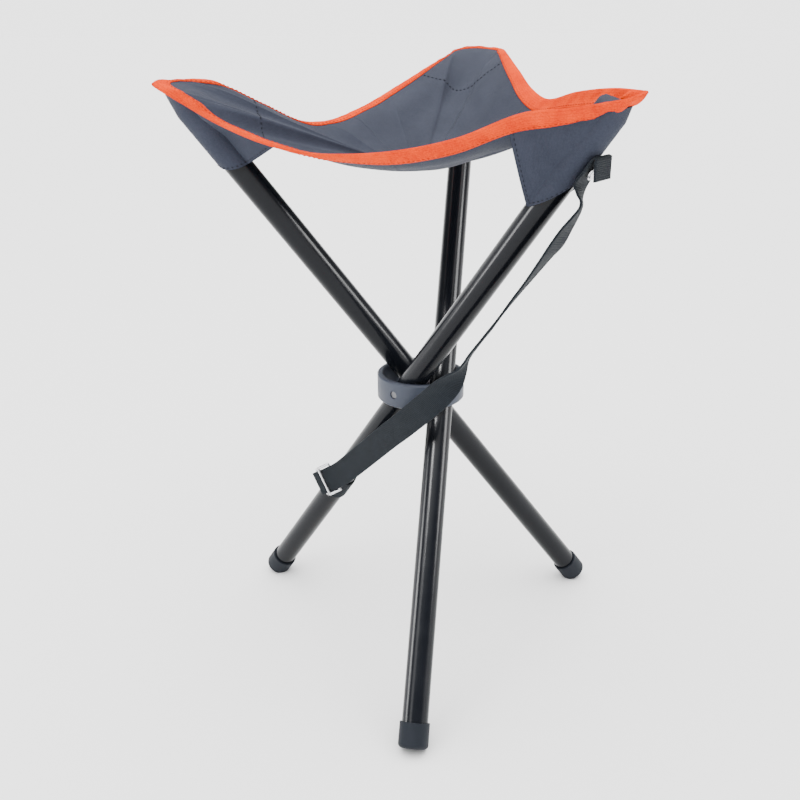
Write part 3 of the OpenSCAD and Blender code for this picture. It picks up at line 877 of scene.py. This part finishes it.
THREAD = {"pitch": 0.0004, "sheen": 0.0, "rough": 0.6, "bump_strength": 0.2}
MAT = {
    "enamel": enamel_material(),
    "ring": plastic_material("ring_plastic", (0.036, 0.042, 0.058, 1), 0.42, shine=0.2),
    "steel": metal_material("dark_steel", (0.16, 0.16, 0.17, 1), 0.38),
    "nylon": plastic_material("washer_nylon", (0.55, 0.55, 0.52, 1), 0.45),
    "rubber": plastic_material("foot_rubber", (0.0075, 0.0095, 0.0135, 1), 0.55, 0.2, 700, shine=0.15),
    "plug": plastic_material("plug_plastic", (0.02, 0.02, 0.022, 1), 0.5),
    "cloth": fabric_material("seat_fabric", (0.021, 0.0245, 0.038, 1), (0.034, 0.039, 0.058, 1)),
    "tape": fabric_material("edging_tape", (0.52, 0.020, 0.001, 1), (0.86, 0.066, 0.002, 1), pitch=0.0009,
                            sheen=0.0, rough=0.7, bump_strength=0.6, wide=0.0016, shine=0.03, blotch=70),
    "thread": fabric_material("tape_thread", (0.50, 0.026, 0.002, 1), (0.62, 0.042, 0.003, 1), **THREAD),
    # Dark thread for the seam, the hems and the loop, darker than the cloth: on the seam it also paints the
    # seam's shadow line
    "dark_thread_seam_shade": fabric_material("seam_thread_painted_shade", (0.010, 0.012, 0.019, 1), (0.016, 0.018, 0.028, 1),
                                   **THREAD),
    "strap": webbing_material("strap_webbing", (0.0052, 0.0072, 0.0098, 1), (0.0105, 0.0142, 0.0188, 1)),
    "bright": metal_material("plated_steel", (0.80, 0.80, 0.82, 1), 0.18),
}

NODE_LOOK = {
    "hub_ring": "ring", "pivot_pins": "steel", "pivot_washers": "nylon",
    "left_leg": "enamel", "right_leg": "enamel", "back_leg": "enamel",
    "left_foot": "rubber", "right_foot": "rubber", "back_foot": "rubber",
    "left_plug": "plug", "right_plug": "plug", "back_plug": "plug",
    "seat_panel": "cloth", "seat_binding": "tape",
    "left_pocket": "cloth", "right_pocket": "cloth", "back_pocket": "cloth",
    "carry_strap": "strap", "strap_loop": "strap",
    "strap_rivet": "bright", "strap_washer": "bright", "strap_slider": "bright",
}


def paint(o, look):
    o.data.materials.clear()
    o.data.materials.append(MAT[look])


def dress(o, look):
    paint(o, look)
    return o


for name, look in NODE_LOOK.items():
    paint(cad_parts[name], look)


# ---------------------------------------------------------------- build the soft parts

SEAM_THREAD = 0.0004


for k, corner in enumerate(CORNERS):
    body = f"{corner}_leg"
    cloth = dress(build_seat(k), "cloth")
    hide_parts("seat_panel")
    tape, over, under, tape_n, run = build_tape(k)
    dress(tape, "tape")
    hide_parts("seat_binding")
    top = stitch_line(f"tape_stitches_{corner}", over, tape_n, along_outline(over))
    dress(top, "thread")
    low = stitch_line(f"under_stitches_{corner}", under, -tape_n, along_outline(under))
    dress(low, "thread")
    sp, sn = seam_row(k)
    # The seam's stitches are real thread, thick and dark, so they also paint the seam's shadow line
    seam = stitch_line(f"seam_stitches_{corner}", sp + sn * CLOTH / 2, sn, along_outline(sp),
                       radius=SEAM_THREAD)
    dress(seam, "dark_thread_seam_shade")
    for o in (cloth, tape, top, low, seam):
        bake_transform(o)
    pocket, hem_p, hem_n = build_pocket(k)
    dress(pocket, "cloth")
    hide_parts(f"{corner}_pocket")
    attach(pocket, body)
    hem = stitch_line(f"hem_stitches_{corner}", hem_p, hem_n, along_outline(hem_p))
    dress(hem, "dark_thread_seam_shade")
    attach(hem, body)

strap, run = build_strap()
dress(strap, "strap")
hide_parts("carry_strap")
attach(strap, "right_leg")

loop, run = build_loop()
dress(loop, "strap")
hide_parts("strap_loop")
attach(loop, "right_leg")
loop_rows = build_loop_stitches()
for o in loop_rows:
    dress(o, "dark_thread_seam_shade")
    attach(o, "right_leg")

# ---------------------------------------------------------------- stage and light

CEILING = 6.2  # strength of the ceiling, and the horizon and the walls as shares of it
HORIZON = 0.475
WALL = 0.05
FLOOR_HALF = 40.0


def build_stage():
    size = FLOOR_HALF
    floor = mesh_object("floor", [(-size, -size, 0), (size, -size, 0), (size, size, 0), (-size, size, 0)],
                        [(0, 1, 2, 3)], smooth=False)
    m, _, b = new_material("floor")
    b.inputs["Base Color"].default_value = (0.90, 0.90, 0.90, 1)
    b.inputs["Roughness"].default_value = 1.0
    b.inputs["Specular IOR Level"].default_value = 0.0
    floor.data.materials.append(m)
    # A bright ceiling and a pale horizon with a darker band between them, as a studio's walls are
    world = bpy.data.worlds.new("studio")
    world.use_nodes = True
    nt = world.node_tree
    back = nt.nodes["Background"]
    sep = nt.nodes.new("ShaderNodeSeparateXYZ")
    nt.links.new(node(nt, "ShaderNodeTexCoord").outputs["Generated"], sep.inputs[0])
    bands = [(0.0, HORIZON), (0.10, HORIZON), (0.24, WALL), (0.62, WALL), (0.80, 1.0)]
    glow = ramp(nt, sep.outputs[2], bands)
    nt.links.new(glow, back.inputs[0])
    back.inputs[1].default_value = CEILING
    bpy.context.scene.world = world


AIM = (0, 0, 0.25)
# Three lamps shine on the tubes alone, for the crisp lines that enamel shows in a studio
GLINTS = (
    ("glint_front", (-0.72, -1.07, 1.78), (0.40, 0.9), 95),
    ("glint_right", (1.75, -0.05, 0.98), (0.55, 1.2), 60),
    ("glint_low", (-2.0, -0.45, 0.45), (0.5, 0.8), 40),
)


def area_light(name, place, size, power):
    data = bpy.data.lights.new(name, "AREA")
    data.shape = "RECTANGLE"
    data.size, data.size_y = size
    data.energy = power
    o = bpy.data.objects.new(name, data)
    o.location = place
    o.rotation_euler = (Vector(AIM) - Vector(place)).to_track_quat("-Z", "Y").to_euler()
    bpy.context.scene.collection.objects.link(o)
    return o


build_stage()
area_light("key", (-1.5, -1.9, 1.5), (0.9, 1.2), 22)
TUBES = bpy.data.collections.new("tubes")
for corner in CORNERS:
    TUBES.objects.link(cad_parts[f"{corner}_leg"])
for name, place, size, power in GLINTS:
    lamp = area_light(name, place, size, power)
    lamp.light_linking.receiver_collection = TUBES
